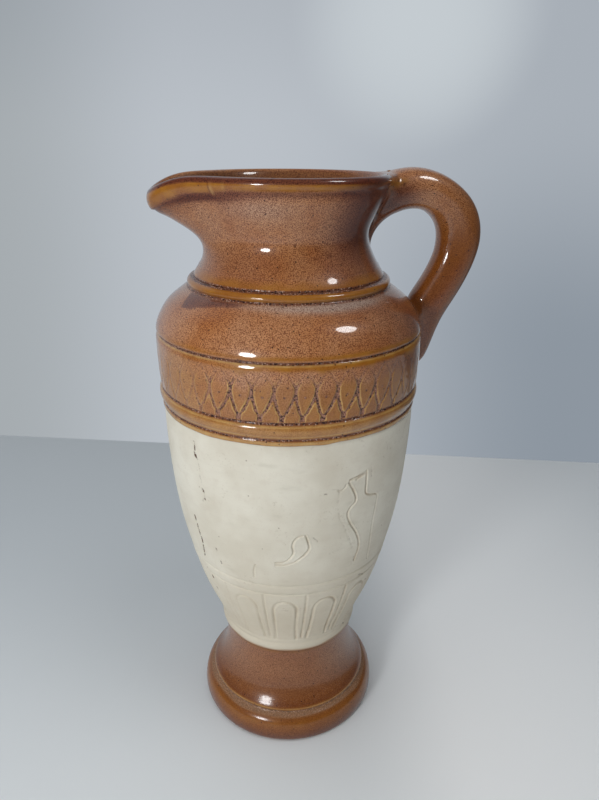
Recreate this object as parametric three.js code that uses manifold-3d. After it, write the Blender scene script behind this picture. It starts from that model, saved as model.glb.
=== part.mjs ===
// A two-tone stoneware jug, built from clay sections that are luted together with slip.
// Millimetres, +Z up. The origin is the centre of the foot's flat base, on the jug's axis.
// The handle is at +X and the pouring spout at -X.
import * as THREE from "three";
import { mergeVertices } from "three/addons/utils/BufferGeometryUtils.js";
import Module from "manifold-3d";

const wasm = await Module();
wasm.setup();

// Heights of the four turned sections, each measured from the one below it
const footHeight = 54;
const bellyHeight = 140.4;
const shoulderHeight = 63.5;
const neckHeight = 46.2;

// Outer radii of the turned sections
const footRadius = 51.7;
const footFlareRadius = 46.2;
const footWaistRadius = 36.8;
const bellyFootRadius = 39;
const bellyTopRadius = 64.7;
const shoulderRadius = 66.3;
const collarRadius = 49.6;
const collarSeatRadius = 46.4;
const neckWaistRadius = 38.1;
const lipRadius = 47.9;

// Walls, floor and the rolled lip
const wallThickness = 5.5;
const floorThickness = 8;
const lipThickness = 6;
const lipHeight = 6;
const lipFlare = 1.2;

// Turned lines and mouldings
const footRimHeight = 18.3;
const footGrooveDepth = 0.8;
const glazeStep = 0.6;
const grooveDepth = 0.8;
const grooveWidth = 1.8;
const lowBandHeight = 2.6;
const mouldingHeight = 7.9;
const mouldingProud = 0.7;
const latticeBandHeight = 27.4;
const collarHeight = 4.2;

// Luted joints: a tongue on the lower section, a rebate in the upper one, slip on the seat between them
const tongueHeight = 5;
const slipThickness = 0.8;
const slipInset = 0.6;
const clearance = 0.3;

// Pouring spout
const spoutReach = 16.6;
const spoutDrop = 6.4;
const spoutHalfAngle = 22;

// Handle
const handleReach = 98.3;
const handleRise = 2.7;
const handleThickness = 20.4;
const handleWidth = 20.6;
const tailLift = 1.6;

// Fineness of the round shapes
const turnSteps = 40;
const neckTurnSteps = 60;
const handleRingSteps = 16;
const handleSteps = 28;

// Heights above the base that follow from the sections
const bellyZ = footHeight;
const shoulderZ = bellyZ + bellyHeight;
const neckZ = shoulderZ + shoulderHeight;
const crestZ = neckZ + neckHeight;
const lipZ = crestZ - lipHeight;
const mouldingZ = shoulderZ + lowBandHeight;
const latticeZ = mouldingZ + mouldingHeight;
const shoulderGrooveZ = latticeZ + latticeBandHeight;
const collarZ = neckZ - collarHeight;

const mix = THREE.MathUtils.lerp;

// The foot's top ends a little inside the belly's lower edge
const footSeatRadius = mix(footWaistRadius, bellyFootRadius, 0.4);

// A wall's outline from (lowRadius, lowZ) to (highRadius, highZ). Each inner point is a pair of shares:
// how far up the line it lies, and how far its radius has gone from the low one to the high one.
function wallLine(lowRadius, lowZ, highRadius, highZ, shares) {
  const all = [[0, 0], ...shares, [1, 1]];
  return all.map(([up, out]) => new THREE.Vector2(mix(lowRadius, highRadius, out), mix(lowZ, highZ, up)));
}

// Smooth outer lines of the sections, without grooves and mouldings
const footFlareLine = wallLine(footFlareRadius, footRimHeight, footWaistRadius, footHeight * 0.84, [
  [0.15, 0.21],
  [0.35, 0.45],
  [0.53, 0.68],
  [0.71, 0.87],
  [0.86, 0.97],
]);
const bellyLine = wallLine(bellyFootRadius, bellyZ, bellyTopRadius, shoulderZ, [
  [0.05, 0.035],
  [0.118, 0.14],
  [0.189, 0.287],
  [0.283, 0.465],
  [0.377, 0.605],
  [0.471, 0.72],
  [0.565, 0.82],
  [0.682, 0.903],
  [0.8, 0.957],
  [0.9, 0.99],
]);
const latticeLine = wallLine(bellyTopRadius + glazeStep, latticeZ, shoulderRadius, shoulderGrooveZ, [
  [0.3, 0.55],
  [0.7, 1.03],
]);
const shoulderLine = wallLine(shoulderRadius, shoulderGrooveZ, collarSeatRadius, collarZ, [
  [0.16, 0.03],
  [0.31, 0.1],
  [0.44, 0.18],
  [0.56, 0.27],
  [0.68, 0.4],
  [0.79, 0.56],
  [0.9, 0.76],
]);
const neckWaistZ = mix(neckZ, crestZ, 0.39);
const neckLine = [
  ...wallLine(collarSeatRadius, neckZ, neckWaistRadius, neckWaistZ, [
    [0.12, 0.1],
    [0.28, 0.32],
    [0.42, 0.52],
    [0.57, 0.71],
    [0.72, 0.86],
    [0.87, 0.96],
  ]),
  ...wallLine(neckWaistRadius, neckWaistZ, lipRadius - lipFlare, lipZ, [
    [0.14, 0.05],
    [0.29, 0.17],
    [0.44, 0.34],
    [0.6, 0.54],
    [0.78, 0.77],
  ]).slice(1),
];
const outerLine = [
  new THREE.Vector2(footRadius, 0),
  new THREE.Vector2(footRadius, footRimHeight * 0.45),
  ...footFlareLine,
  new THREE.Vector2(footSeatRadius, bellyZ),
  ...bellyLine.slice(1),
  ...latticeLine,
  ...shoulderLine.slice(1),
  ...neckLine,
];

function radiusAt(line, z) {
  const above = line.findIndex((point) => point.y > z);
  if (above < 0) return line[line.length - 1].x;
  if (above === 0) return line[0].x;
  const low = line[above - 1];
  const high = line[above];
  return mix(low.x, high.x, (z - low.y) / (high.y - low.y));
}

// The line moved sideways by a distance, square to its own run: outwards above zero, inwards below
function movedLine(line, distance) {
  return line.map((point, i) => {
    const before = line[Math.max(i - 1, 0)];
    const after = line[Math.min(i + 1, line.length - 1)];
    const run = new THREE.Vector2().subVectors(after, before).normalize();
    return new THREE.Vector2(point.x + run.y * distance, point.y - run.x * distance);
  });
}

// The points of a line strictly between two heights, each higher than the one before it
function between(line, lowZ, highZ) {
  const kept = [];
  for (const point of line) {
    const last = kept.length ? kept[kept.length - 1].y : lowZ;
    if (point.y > last + clearance && point.y < highZ - clearance) kept.push(point);
  }
  return kept;
}

const cavityLine = movedLine(outerLine, -wallThickness);

// The inner wall between two heights, from the top down
function innerWall(lowZ, highZ) {
  const ends = [lowZ, highZ].map((z) => new THREE.Vector2(radiusAt(cavityLine, z), z));
  return [ends[1], ...between(cavityLine, lowZ, highZ).reverse(), ends[0]];
}

// The outer side of a joint's tongue: half way through the wall, and never wider than at the seat
function tongueRadius(seatZ, z) {
  const middleAt = (height) => mix(radiusAt(outerLine, height), radiusAt(cavityLine, height), 0.5);
  return Math.min(middleAt(seatZ), middleAt(z));
}

function tongueInnerRadius(seatZ, z) {
  return Math.min(radiusAt(cavityLine, seatZ), radiusAt(cavityLine, z));
}

// Top of a lower section: its seat, its tongue, and back down to the wall inside
function tongue(seatZ) {
  const topZ = seatZ + tongueHeight;
  return [
    new THREE.Vector2(tongueRadius(seatZ, seatZ), seatZ),
    new THREE.Vector2(tongueRadius(seatZ, topZ), topZ),
    new THREE.Vector2(tongueInnerRadius(seatZ, topZ), topZ),
  ];
}

// Bottom of an upper section, from the inner wall out to its seat on the slip
function rebate(seatZ) {
  const topZ = seatZ + tongueHeight + clearance;
  return [
    new THREE.Vector2(tongueRadius(seatZ, topZ) + clearance, topZ),
    new THREE.Vector2(tongueRadius(seatZ, seatZ) + clearance, seatZ + slipThickness),
  ];
}

function rebateTop(seatZ) {
  return seatZ + tongueHeight + clearance;
}

// A body turned about the jug's axis from a closed outline that runs up its outer side
function turned(outline, steps) {
  const shape = new THREE.LatheGeometry([...outline, outline[0]], steps);
  return shape.rotateX(Math.PI / 2);
}

// A groove pressed into a wall of the given radius, from its lower edge to its upper edge
function groove(radius, middleZ) {
  return [
    new THREE.Vector2(radius, middleZ - grooveWidth / 2),
    new THREE.Vector2(radius - grooveDepth, middleZ),
    new THREE.Vector2(radius, middleZ + grooveWidth / 2),
  ];
}

function foot() {
  const roll = [
    [0.7, 0],
    [0.95, 0.12],
    [1, 0.3],
    [0.95, 0.49],
    [0.76, 0.68],
    [0.48, 0.84],
    [0.12, 0.94],
  ].map(([out, up]) => new THREE.Vector2(mix(footFlareRadius, footRadius, out), footRimHeight * up));
  const outline = [
    new THREE.Vector2(0, 0),
    ...roll,
    new THREE.Vector2(footFlareRadius - footGrooveDepth, footRimHeight),
    ...footFlareLine.slice(1),
    new THREE.Vector2(footSeatRadius, bellyZ),
    ...tongue(bellyZ),
    ...innerWall(floorThickness, bellyZ),
    new THREE.Vector2(0, floorThickness),
  ];
  const shape = new THREE.LatheGeometry(outline, turnSteps);
  return shape.rotateX(Math.PI / 2);
}

function belly() {
  const outline = [
    new THREE.Vector2(bellyFootRadius - 0.4, bellyZ + slipThickness),
    new THREE.Vector2(bellyFootRadius, bellyZ + 2 * slipThickness),
    ...bellyLine.slice(1, -1),
    new THREE.Vector2(bellyTopRadius, shoulderZ),
    ...tongue(shoulderZ),
    ...innerWall(rebateTop(bellyZ), shoulderZ),
    ...rebate(bellyZ),
  ];
  return turned(outline, turnSteps);
}

function shoulder() {
  const bandRadius = bellyTopRadius + glazeStep;
  const mouldingRadius = bandRadius + mouldingProud;
  const mouldingArc = [0.2, 0.5, 0.8].map(
    (share) =>
      new THREE.Vector2(
        bandRadius + (mouldingRadius - bandRadius) * Math.sin(Math.PI * share),
        mix(mouldingZ + grooveWidth / 2, latticeZ - grooveWidth / 2, share),
      ),
  );
  const collarArc = [0.12, 0.4, 0.7].map(
    (share) =>
      new THREE.Vector2(
        mix(collarSeatRadius, collarRadius, Math.sin(Math.PI * mix(0.25, 0.85, share))),
        mix(collarZ, neckZ, share),
      ),
  );
  const wall = latticeLine.slice(1, -1);
  const outline = [
    new THREE.Vector2(bandRadius - 0.3, shoulderZ + slipThickness),
    ...groove(bandRadius, mouldingZ),
    ...mouldingArc,
    ...groove(bandRadius, latticeZ),
    ...wall,
    ...groove(shoulderRadius, shoulderGrooveZ),
    ...shoulderLine.slice(1, -1),
    new THREE.Vector2(mix(collarSeatRadius, collarRadius, 0.6), collarZ - grooveWidth / 4),
    ...collarArc,
    new THREE.Vector2(collarSeatRadius, neckZ),
    ...tongue(neckZ),
    ...innerWall(rebateTop(shoulderZ), neckZ),
    ...rebate(shoulderZ),
  ];
  return turned(outline, turnSteps);
}

// The rolled lip, from the outside over the crest to the inner wall
function lipArc() {
  const middleRadius = lipRadius - lipThickness / 2;
  const middleZ = crestZ - lipHeight / 2;
  return [-30, 0, 30, 60, 90, 120, 150, 180].map((degrees) => {
    const angle = THREE.MathUtils.degToRad(degrees);
    return new THREE.Vector2(
      middleRadius + (lipThickness / 2) * Math.cos(angle),
      middleZ + (lipHeight / 2) * Math.sin(angle),
    );
  });
}

// The spout is the neck's own wall, drawn out over the pouring side and let down at its tip
function pullSpout(shape) {
  const startZ = rebateTop(neckZ) + clearance;
  const place = shape.attributes.position;
  const point = new THREE.Vector3();
  for (let i = 0; i < place.count; i += 1) {
    point.fromBufferAttribute(place, i);
    const rise = THREE.MathUtils.clamp((point.z - startZ) / (lipZ - startZ), 0, 1);
    const turn = Math.atan2(point.y, -point.x) / THREE.MathUtils.degToRad(spoutHalfAngle);
    const share = Math.exp(-turn * turn);
    const radius = Math.hypot(point.x, point.y);
    const stretch = 1 + (spoutReach * share * THREE.MathUtils.smoothstep(rise, 0, 1)) / radius;
    place.setXYZ(
      i,
      point.x * stretch,
      point.y * stretch,
      point.z - spoutDrop * rise * rise * share ** 2.5,
    );
  }
  return shape;
}

function neck() {
  const outline = [
    new THREE.Vector2(collarSeatRadius - 0.2, neckZ + slipThickness),
    ...between(neckLine, neckZ + 2 * slipThickness, lipZ + 2 * clearance),
    ...lipArc(),
    ...innerWall(rebateTop(neckZ), lipZ),
    ...rebate(neckZ),
  ];
  return pullSpout(turned(outline, neckTurnSteps));
}

// Slip on a joint's seat: a flat ring between the two sections, a little behind their faces
function slipRing(seatZ, outerRadius) {
  const innerRadius = tongueRadius(seatZ, seatZ) + clearance;
  const outline = [
    new THREE.Vector2(outerRadius - slipInset, seatZ),
    new THREE.Vector2(outerRadius - slipInset, seatZ + slipThickness),
    new THREE.Vector2(innerRadius, seatZ + slipThickness),
    new THREE.Vector2(innerRadius, seatZ),
  ];
  return turned(outline, turnSteps);
}

// Stations of the handle from the lip, over its top and down to its tail on the shoulder.
// out runs from the neck's waist (0) to the farthest point of the loop (1), up from the tail's end (0) to the
// top of the loop (1), and thick and wide are shares of the handle's own thickness and width.
const loopStations = [
  { out: 0.02, up: 0.915, thick: 1.3, wide: 1.25 },
  { out: 0.13, up: 0.945, thick: 1.2, wide: 1.16 },
  { out: 0.26, up: 0.975, thick: 1.05, wide: 1.04 },
  { out: 0.45, up: 1, thick: 0.95, wide: 1 },
  { out: 0.67, up: 0.985, thick: 0.96, wide: 1 },
  { out: 0.87, up: 0.905, thick: 1, wide: 1 },
  { out: 0.98, up: 0.8, thick: 1.06, wide: 1 },
  { out: 1, up: 0.705, thick: 1.07, wide: 1 },
  { out: 0.95, up: 0.61, thick: 1.04, wide: 1 },
  { out: 0.855, up: 0.5, thick: 1, wide: 1 },
  { out: 0.74, up: 0.38, thick: 0.96, wide: 0.95 },
];
// The tail lies on the shoulder: lift is how far its middle stands out of the wall, as a share of the thickness
const tailStations = [
  { lift: 0.27, up: 0.26, thick: 0.82, wide: 0.85 },
  { lift: 0.17, up: 0.15, thick: 0.7, wide: 0.72 },
  { lift: 0.08, up: 0.05, thick: 0.56, wide: 0.6 },
  { lift: -0.08, up: 0, thick: 0.3, wide: 0.42 },
];

function handleCourse() {
  const farRadius = handleReach - (handleThickness * 1.07) / 2;
  const topZ = crestZ + handleRise - (handleThickness * 0.95) / 2;
  const tailZ = latticeZ + tailLift;
  const place = (radius, { up, thick, wide }) => ({
    middle: new THREE.Vector3(radius, 0, mix(tailZ, topZ, up)),
    size: new THREE.Vector3((thick * handleThickness) / 2, (wide * handleWidth) / 2, 0),
  });
  return [
    ...loopStations.map((station) => place(mix(neckWaistRadius, farRadius, station.out), station)),
    ...tailStations.map((station) => place(shoulderRadius + station.lift * handleThickness, station)),
  ];
}

// A closed body lofted through rings that stand square to the handle's course
function handleBar() {
  const course = handleCourse();
  const path = new THREE.CatmullRomCurve3(course.map((station) => station.middle));
  const sizes = new THREE.CatmullRomCurve3(course.map((station) => station.size));
  const corners = [];
  const faces = [];
  for (let i = 0; i <= handleSteps; i += 1) {
    const along = i / handleSteps;
    const middle = path.getPoint(along);
    const size = sizes.getPoint(along);
    const run = path.getTangent(along);
    for (let j = 0; j < handleRingSteps; j += 1) {
      const angle = (2 * Math.PI * j) / handleRingSteps;
      const inPlane = size.x * Math.cos(angle);
      corners.push(middle.x - run.z * inPlane, size.y * Math.sin(angle), middle.z + run.x * inPlane);
    }
  }
  const ringStart = (ring) => ring * handleRingSteps;
  for (let i = 0; i < handleSteps; i += 1) {
    for (let j = 0; j < handleRingSteps; j += 1) {
      const next = (j + 1) % handleRingSteps;
      const [a, b] = [ringStart(i) + j, ringStart(i) + next];
      const [c, d] = [ringStart(i + 1) + j, ringStart(i + 1) + next];
      faces.push(a, c, b, b, c, d);
    }
  }
  for (let j = 1; j < handleRingSteps - 1; j += 1) {
    faces.push(0, j, j + 1);
    faces.push(ringStart(handleSteps), ringStart(handleSteps) + j + 1, ringStart(handleSteps) + j);
  }
  const shape = new THREE.BufferGeometry();
  shape.setAttribute("position", new THREE.Float32BufferAttribute(corners, 3));
  return shape.setIndex(faces);
}

// The jug's filled outer form from the belly to above the lip, swollen by a distance.
// Above the lip it goes straight up, so that the handle's root ends at the lip's outer side.
function filledBody(swelling) {
  const wall = movedLine(outerLine.filter((point) => point.y > shoulderZ - clearance), swelling);
  const sleeveTop = crestZ + handleThickness;
  const line = [
    ...wall,
    new THREE.Vector2(lipRadius + swelling, lipZ + lipHeight / 2),
    new THREE.Vector2(lipRadius + swelling, sleeveTop),
  ];
  const outline = [new THREE.Vector2(0, wall[0].y), ...line, new THREE.Vector2(0, sleeveTop)];
  return solidOf(new THREE.LatheGeometry(outline, turnSteps).rotateX(Math.PI / 2));
}

function solidOf(shape) {
  const positions = new THREE.BufferGeometry();
  positions.setAttribute("position", shape.getAttribute("position"));
  if (shape.index) positions.setIndex(shape.index);
  const merged = mergeVertices(positions, 1e-4);
  return new wasm.Manifold(
    new wasm.Mesh({
      numProp: 3,
      vertProperties: merged.attributes.position.array,
      triVerts: new Uint32Array(merged.index.array),
    }),
  );
}

function shapeOf(solid) {
  const { vertProperties, triVerts } = solid.getMesh();
  const shape = new THREE.BufferGeometry();
  shape.setAttribute("position", new THREE.BufferAttribute(vertProperties, 3));
  shape.setIndex(new THREE.BufferAttribute(triVerts, 1));
  return shape;
}

const bar = solidOf(handleBar());
const slipSkin = filledBody(clearance + slipThickness).subtract(filledBody(clearance));
const handle = bar.subtract(filledBody(2 * clearance + slipThickness));

// The two slip pads are the parts of the bar that lie in the slip's skin, one above the collar and one below it
const padFrom = (lowZ, highZ) => {
  const reach = handleReach * 2;
  const slab = new THREE.BoxGeometry(reach, reach, highZ - lowZ).translate(0, 0, (lowZ + highZ) / 2);
  return bar.intersect(slipSkin).intersect(solidOf(slab));
};
const upperPad = padFrom(neckZ, crestZ + handleThickness);
const lowerPad = padFrom(shoulderZ, neckZ);

const brownGlaze = () => new THREE.MeshStandardMaterial({ color: 0x9c6238, roughness: 0.25, metalness: 0 });
const creamClay = () => new THREE.MeshStandardMaterial({ color: 0xd8d0be, roughness: 0.8, metalness: 0 });
const driedSlip = () => new THREE.MeshStandardMaterial({ color: 0x8a6a4c, roughness: 0.9, metalness: 0 });

const jug = new THREE.Group();

function addPiece(name, shape, material) {
  const piece = new THREE.Mesh(shape, material);
  piece.name = name;
  jug.add(piece);
}

addPiece("foot", foot(), brownGlaze());
addPiece("belly", belly(), creamClay());
addPiece("shoulder", shoulder(), brownGlaze());
addPiece("neck", neck(), brownGlaze());
addPiece("handle", shapeOf(handle), brownGlaze());
addPiece("foot_joint_slip", slipRing(bellyZ, footSeatRadius), driedSlip());
addPiece("belly_joint_slip", slipRing(shoulderZ, bellyTopRadius), driedSlip());
addPiece("neck_joint_slip", slipRing(neckZ, collarSeatRadius), driedSlip());
addPiece("handle_upper_slip", shapeOf(upperPad), driedSlip());
addPiece("handle_lower_slip", shapeOf(lowerPad), driedSlip());

export default jug;
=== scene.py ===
"""A two-tone stoneware jug: glazed foot, bare clay belly, glazed shoulder with a lattice band, glazed neck
with a pulled spout, and a pulled handle. +Z is up, the origin is under the middle of the foot, and the
handle is at +X. The scene is in metres. The outlines, heights and sizes below are in millimetres."""

import math
from functools import reduce

import bpy
import numpy as np
from mathutils import Matrix, Vector


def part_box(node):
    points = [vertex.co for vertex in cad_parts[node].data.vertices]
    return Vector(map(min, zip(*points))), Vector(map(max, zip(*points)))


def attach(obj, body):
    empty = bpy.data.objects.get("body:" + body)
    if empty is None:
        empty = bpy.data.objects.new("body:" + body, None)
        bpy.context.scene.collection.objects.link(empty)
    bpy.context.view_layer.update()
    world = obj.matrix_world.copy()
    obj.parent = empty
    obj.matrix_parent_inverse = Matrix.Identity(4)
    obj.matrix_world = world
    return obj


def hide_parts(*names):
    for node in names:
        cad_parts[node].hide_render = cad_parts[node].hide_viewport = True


MM = 0.001

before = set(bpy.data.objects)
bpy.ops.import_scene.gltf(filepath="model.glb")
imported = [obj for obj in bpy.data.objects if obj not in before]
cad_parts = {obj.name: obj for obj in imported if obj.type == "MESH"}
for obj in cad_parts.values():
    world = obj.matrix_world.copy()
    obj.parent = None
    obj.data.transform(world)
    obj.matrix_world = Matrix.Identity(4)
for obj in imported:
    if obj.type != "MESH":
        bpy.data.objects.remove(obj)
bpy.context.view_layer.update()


def top_of(node):
    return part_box(node)[1].z / MM


def seat_of(node):
    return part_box(node)[0].z / MM


# Heights of the joints between the turned sections, and of the lip's crest, in millimetres
BELLY_Z = seat_of("foot_joint_slip")
SHOULDER_Z = seat_of("belly_joint_slip")
NECK_Z = seat_of("neck_joint_slip")
CREST_Z = top_of("neck")

# The side that faces the viewer is this many degrees round from the handle, so azimuth 0 is the front
FRONT = 100.0

# Camera, fitted to the photo: its size in pixels, then place in metres and turns in degrees
PHOTO_WIDTH, PHOTO_HEIGHT = 599, 800
LENS, SENSOR = 28.8, 36
CAMERA_PLACE = (-0.0549, -0.31137, 0.3186)
CAMERA_TURN = 10 + math.degrees(0.01818)
CAMERA_PITCH = math.degrees(0.38714)
CAMERA_ROLL = math.degrees(0.00818)


def add_camera():
    data = bpy.data.cameras.new("camera")
    data.lens = LENS
    data.sensor_width = SENSOR
    camera = bpy.data.objects.new("camera", data)
    bpy.context.scene.collection.objects.link(camera)
    turn = Matrix.Rotation(math.radians(-CAMERA_TURN), 4, "Z")
    pitch = Matrix.Rotation(math.radians(90 - CAMERA_PITCH), 4, "X")
    roll = Matrix.Rotation(math.radians(CAMERA_ROLL), 4, "Z")
    camera.matrix_world = Matrix.Translation(CAMERA_PLACE) @ turn @ pitch @ roll
    bpy.context.scene.camera = camera


add_camera()


# Lines and noise
def softened(values, width):
    """The values of an evenly spaced line, smoothed over a number of samples, with both ends kept."""
    reach = max(1, int(3 * width))
    kernel = np.exp(-0.5 * (np.arange(-reach, reach + 1) / width) ** 2)
    kernel /= kernel.sum()
    head = 2 * values[0] - values[reach:0:-1]
    tail = 2 * values[-1] - values[-2 : -reach - 2 : -1]
    padded = np.concatenate([head, values, tail])
    return np.convolve(padded, kernel, mode="valid")


def flowing(points, spacing=0.25, softness=1.5):
    """A smooth line through points, as places at about that spacing. softness is in millimetres."""
    points = np.array(points, float)
    runs = np.hypot(*np.diff(points, axis=0).T)
    along = np.concatenate([[0], np.cumsum(runs)])
    slopes = np.zeros_like(points)
    for i in range(len(points)):
        low, high = max(i - 1, 0), min(i + 1, len(points) - 1)
        slopes[i] = (points[high] - points[low]) / (along[high] - along[low])
    places = np.linspace(0, along[-1], max(3, int(along[-1] / spacing) + 1))
    index = np.clip(np.searchsorted(along, places, side="right") - 1, 0, len(runs) - 1)
    length = runs[index][:, None]
    t = (places[:, None] - along[index][:, None]) / length
    line = (
        (2 * t**3 - 3 * t**2 + 1) * points[index]
        + (t**3 - 2 * t**2 + t) * slopes[index] * length
        + (3 * t**2 - 2 * t**3) * points[index + 1]
        + (t**3 - t**2) * slopes[index + 1] * length
    )
    if softness:
        width = softness / spacing
        line = np.stack([softened(line[:, 0], width), softened(line[:, 1], width)], 1)
    return line


def radius_at(line, heights):
    return np.interp(heights, line[:, 1], line[:, 0])


def smoothstep(low, high, values):
    t = np.clip((values - low) / (high - low), 0, 1)
    return t * t * (3 - 2 * t)


def bell(values, middle, width):
    return np.exp(-(((values - middle) / width) ** 2))


def lumps(u, v, size, seed, wrap=None):
    """Soft random hills from -1 to 1 over two coordinates; wrap is the length after which u repeats."""
    cells = None if wrap is None else max(1, int(round(wrap / size)))
    u = np.asarray(u) / (size if wrap is None else wrap / cells)
    v = np.asarray(v) / size
    table = np.random.default_rng(seed).uniform(-1, 1, (64, 64))
    iu, iv = np.floor(u).astype(int), np.floor(v).astype(int)
    fu, fv = u - iu, v - iv
    fu, fv = fu * fu * (3 - 2 * fu), fv * fv * (3 - 2 * fv)

    def at(i, j):
        i = i % cells if cells else i
        return table[i % 64, j % 64]

    low = at(iu, iv) * (1 - fu) + at(iu + 1, iv) * fu
    high = at(iu, iv + 1) * (1 - fu) + at(iu + 1, iv + 1) * fu
    return low * (1 - fv) + high * fv


def angle_between(a, b):
    """Degrees from b to a, between -180 and 180."""
    return (np.asarray(a) - b + 180) % 360 - 180


def most(*values):
    return reduce(np.maximum, values)


def least(*values):
    return reduce(np.minimum, values)


def hills_round(azimuth, height, radius):
    """Two makers of random hills on a turned wall, by size and seed: over all of it, or only round it."""
    arc, whole = np.radians(azimuth) * radius, 2 * math.pi * radius

    def hills(size, seed):
        return lumps(arc, height, size, seed, whole)

    def waves(size, seed):
        return lumps(arc, 0 * arc, size, seed, whole)

    return hills, waves


# Modelling by hand
def deselect_all():
    bpy.ops.object.select_all(action="DESELECT")


def select_only(piece):
    deselect_all()
    piece.select_set(True)
    bpy.context.view_layer.objects.active = piece


def turned(name, outline, steps):
    """A body turned on the wheel: its outline is drawn point by point, then spun once round the axis."""
    deselect_all()
    bpy.ops.mesh.primitive_plane_add(size=MM)
    piece = bpy.context.object
    piece.name = piece.data.name = name
    bpy.ops.object.mode_set(mode="EDIT")
    bpy.ops.mesh.select_all(action="SELECT")
    bpy.ops.mesh.merge(type="CENTER")
    places = [Vector((radius * MM, 0, height * MM)) for radius, height in outline]
    bpy.ops.transform.translate(value=places[0])
    for here, there in zip(places, places[1:]):
        bpy.ops.mesh.extrude_region_move(TRANSFORM_OT_translate={"value": there - here})
    bpy.ops.mesh.select_all(action="SELECT")
    bpy.ops.mesh.spin(steps=steps, angle=2 * math.pi, center=(0, 0, 0), axis=(0, 0, 1))
    bpy.ops.mesh.select_all(action="SELECT")
    bpy.ops.mesh.remove_doubles(threshold=0.01 * MM)
    bpy.ops.mesh.normals_make_consistent(inside=False)
    bpy.ops.mesh.select_all(action="DESELECT")
    bpy.ops.object.mode_set(mode="OBJECT")
    return piece


def places_of(piece):
    """The corners of a piece in millimetres."""
    flat = np.empty(len(piece.data.vertices) * 3, np.float32)
    piece.data.vertices.foreach_get("co", flat)
    return flat.reshape(-1, 3).astype(float) / MM


def move_to(piece, places):
    piece.data.vertices.foreach_set("co", (places * MM).astype(np.float32).ravel())
    piece.data.update()


def paint(piece, **layers):
    """Named values on every corner of a piece, between 0 and 1."""
    for name, values in layers.items():
        layer = piece.data.attributes.new(name, "FLOAT", "POINT")
        layer.data.foreach_set("value", np.clip(values, 0, 1).astype(np.float32))


def round_the_axis(places):
    """Azimuth in degrees from the front, distance from the axis, and height."""
    azimuth = np.degrees(np.arctan2(places[:, 1], places[:, 0])) + FRONT
    return angle_between(azimuth, 0), np.hypot(places[:, 0], places[:, 1]), places[:, 2]


def at_radius(places, radius):
    out = places.copy()
    now = np.hypot(places[:, 0], places[:, 1])
    share = np.where(now > 1e-6, radius / np.maximum(now, 1e-6), 0)
    out[:, :2] *= share[:, None]
    return out


def smooth(piece, angle=50):
    select_only(piece)
    bpy.ops.object.shade_smooth_by_angle(angle=math.radians(angle))


def subdivide_where(piece, wanted):
    """Cuts in four the faces that have a wanted corner."""
    select_only(piece)
    bpy.ops.object.mode_set(mode="EDIT")
    bpy.ops.mesh.select_mode(type="FACE")
    bpy.ops.mesh.select_all(action="DESELECT")
    bpy.ops.object.mode_set(mode="OBJECT")
    chosen = [bool(wanted[list(face.vertices)].any()) for face in piece.data.polygons]
    piece.data.polygons.foreach_set("select", chosen)
    bpy.ops.object.mode_set(mode="EDIT")
    bpy.ops.mesh.subdivide(number_cuts=1)
    bpy.ops.mesh.select_all(action="DESELECT")
    bpy.ops.mesh.select_mode(type="VERT")
    bpy.ops.object.mode_set(mode="OBJECT")


FAR = 99.0
STROKE_MARGIN = 6


def stroke_distance(azimuth, radius, height, line):
    """How far each place on the wall is from a line of (azimuth, height), in millimetres."""
    line = np.array(line, float)
    near = np.full(len(azimuth), FAR)
    middle = line[:, 0].mean()
    off = np.radians(angle_between(azimuth, middle)) * radius
    reach = np.abs(np.radians(line[:, 0] - middle)).max() * radius.max() + STROKE_MARGIN
    low, high = line[:, 1].min() - STROKE_MARGIN, line[:, 1].max() + STROKE_MARGIN
    chosen = (np.abs(off) < reach) & (height > low) & (height < high)
    if not chosen.any():
        return near
    x, y, r = off[chosen], height[chosen], radius[chosen]
    best = np.full(len(x), FAR)
    for (a0, z0), (a1, z1) in zip(line, line[1:]):
        x0, x1 = np.radians(a0 - middle) * r, np.radians(a1 - middle) * r
        dx, dz = x1 - x0, z1 - z0
        t = np.clip(((x - x0) * dx + (y - z0) * dz) / np.maximum(dx * dx + dz * dz, 1e-9), 0, 1)
        best = np.minimum(best, np.hypot(x - x0 - t * dx, y - z0 - t * dz))
    near[chosen] = best
    return near


# Outer lines of the sections: radius and height. WALL, TONGUE and SEAM are sizes of the hidden joints
WALL = 5.5
TONGUE = 5.0
SEAM = 0.05

FOOT_ROLL = [
    (49.6, 0.0), (50.4, 0.35), (51.1, 1.3), (51.5, 2.8), (51.7, 5.0), (51.6, 7.4), (51.2, 9.6),
    (50.7, 11.3), (50.0, 12.7), (49.2, 13.7), (48.3, 14.6),
]
FOOT_LEDGE = [(47.6, 15.2), (46.9, 15.7), (46.3, 16.2), (45.85, 16.8), (45.75, 17.3), (45.9, 17.8)]
FOOT_FLARE = [
    (46.1, 18.2), (45.9, 18.8), (45.1, 19.9), (44.0, 21.2), (43.0, 22.5), (42.0, 24.0), (40.9, 26.0),
    (39.9, 28.2), (38.9, 31.0), (38.1, 34.0), (37.5, 37.0), (37.1, 41.0), (36.9, 45.5), (37.1, 49.5),
    (37.6, 54.0),
]
BELLY_LINE = [
    (38.95, 55.6), (39.0, 58.0), (39.25, 61.0), (40.5, 66.0), (42.2, 70.6), (46.3, 80.5), (50.9, 93.7),
    (54.4, 106.9), (57.6, 120.1), (60.1, 133.3), (62.2, 149.8), (63.6, 166.3), (64.5, 182.8),
    (64.7, 194.4),
]
BAND_LINE = [
    (65.3, 194.9), (65.4, 199.0), (65.6, 204.9), (65.95, 210.0), (66.3, 218.0), (66.4, 226.0),
    (66.3, 232.3), (65.7, 235.7), (64.3, 238.9), (62.7, 241.7), (60.9, 244.3), (58.3, 246.9),
    (55.2, 249.2), (51.7, 251.9), (50.0, 253.1),
]
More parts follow.
